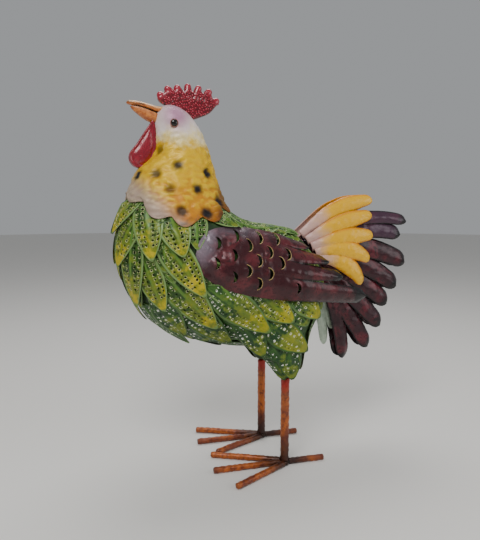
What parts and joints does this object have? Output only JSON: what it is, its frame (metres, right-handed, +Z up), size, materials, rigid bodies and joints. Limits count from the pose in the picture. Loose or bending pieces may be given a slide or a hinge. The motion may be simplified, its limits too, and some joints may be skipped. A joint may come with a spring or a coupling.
{
  "type": "metal garden bird statue",
  "caption": "Sheet-metal rooster figure on two rod legs, with a leafed body, punched wings and a fanned tail; a painted garden ornament that stands by its own weight.",
  "frame": {"origin": "on the ground under the middle of the figure's bounding box", "axes": "+X from the head to the tail, so the bird looks along -X; +Y towards the bird's right side; +Z up"},
  "size_m": [0.3958, 0.1751, 0.4722],
  "materials": {
    "leaf_green_paint": "satin hand-brushed green over hammered sheet steel",
    "neck_yellow_paint": "satin paint fading from cream to yellow and orange",
    "comb_crimson_paint": "glossy crimson paint over embossed dots",
    "beak_orange_paint": "satin orange paint",
    "eye_black_paint": "glossy black paint",
    "wing_maroon_paint": "satin maroon paint with dark tips",
    "tail_yellow_paint": "satin yellow paint with orange edges",
    "undertail_grey_green_paint": "satin pale grey-green paint",
    "leg_rust_paint": "rust-coloured paint over hammered round bar"
  },
  "bodies": {
    "root": {"body": "leaf_green_paint", "comb": "comb_crimson_paint", "hood": "neck_yellow_paint", "left_back_toe": "leg_rust_paint", "left_eye": "eye_black_paint", "left_inner_toe": "leg_rust_paint", "left_leaf_01": "leaf_green_paint", "left_leaf_02": "leaf_green_paint", "left_leaf_03": "leaf_green_paint", "left_leaf_04": "leaf_green_paint", "left_leaf_05": "leaf_green_paint", "left_leaf_06": "leaf_green_paint", "left_leaf_07": "leaf_green_paint", "left_leaf_08": "leaf_green_paint", "left_leaf_09": "leaf_green_paint", "left_leaf_10": "leaf_green_paint", "left_leaf_11": "leaf_green_paint", "left_leaf_12": "leaf_green_paint", "left_leaf_13": "leaf_green_paint", "left_leaf_14": "leaf_green_paint", "left_leaf_15": "leaf_green_paint", "left_leaf_16": "leaf_green_paint", "left_leaf_17": "leaf_green_paint", "left_leg": "leg_rust_paint", "left_middle_toe": "leg_rust_paint", "left_outer_toe": "leg_rust_paint", "left_tail_fan": "wing_maroon_paint", "left_wattle": "comb_crimson_paint", "left_wing": "wing_maroon_paint", "left_yellow_fan": "tail_yellow_paint", "lower_beak": "beak_orange_paint", "right_back_toe": "leg_rust_paint", "right_eye": "eye_black_paint", "right_inner_toe": "leg_rust_paint", "right_leaf_01": "leaf_green_paint", "right_leaf_02": "leaf_green_paint", "right_leaf_03": "leaf_green_paint", "right_leaf_04": "leaf_green_paint", "right_leaf_05": "leaf_green_paint", "right_leaf_06": "leaf_green_paint", "right_leaf_07": "leaf_green_paint", "right_leaf_08": "leaf_green_paint", "right_leaf_09": "leaf_green_paint", "right_leaf_10": "leaf_green_paint", "right_leaf_11": "leaf_green_paint", "right_leaf_12": "leaf_green_paint", "right_leaf_13": "leaf_green_paint", "right_leaf_14": "leaf_green_paint", "right_leaf_15": "leaf_green_paint", "right_leaf_16": "leaf_green_paint", "right_leaf_17": "leaf_green_paint", "right_leg": "leg_rust_paint", "right_middle_toe": "leg_rust_paint", "right_outer_toe": "leg_rust_paint", "right_tail_fan": "wing_maroon_paint", "right_wattle": "comb_crimson_paint", "right_wing": "wing_maroon_paint", "right_yellow_fan": "tail_yellow_paint", "undertail_fan": "undertail_grey_green_paint", "upper_beak": "beak_orange_paint"}
  },
  "joints": []
}
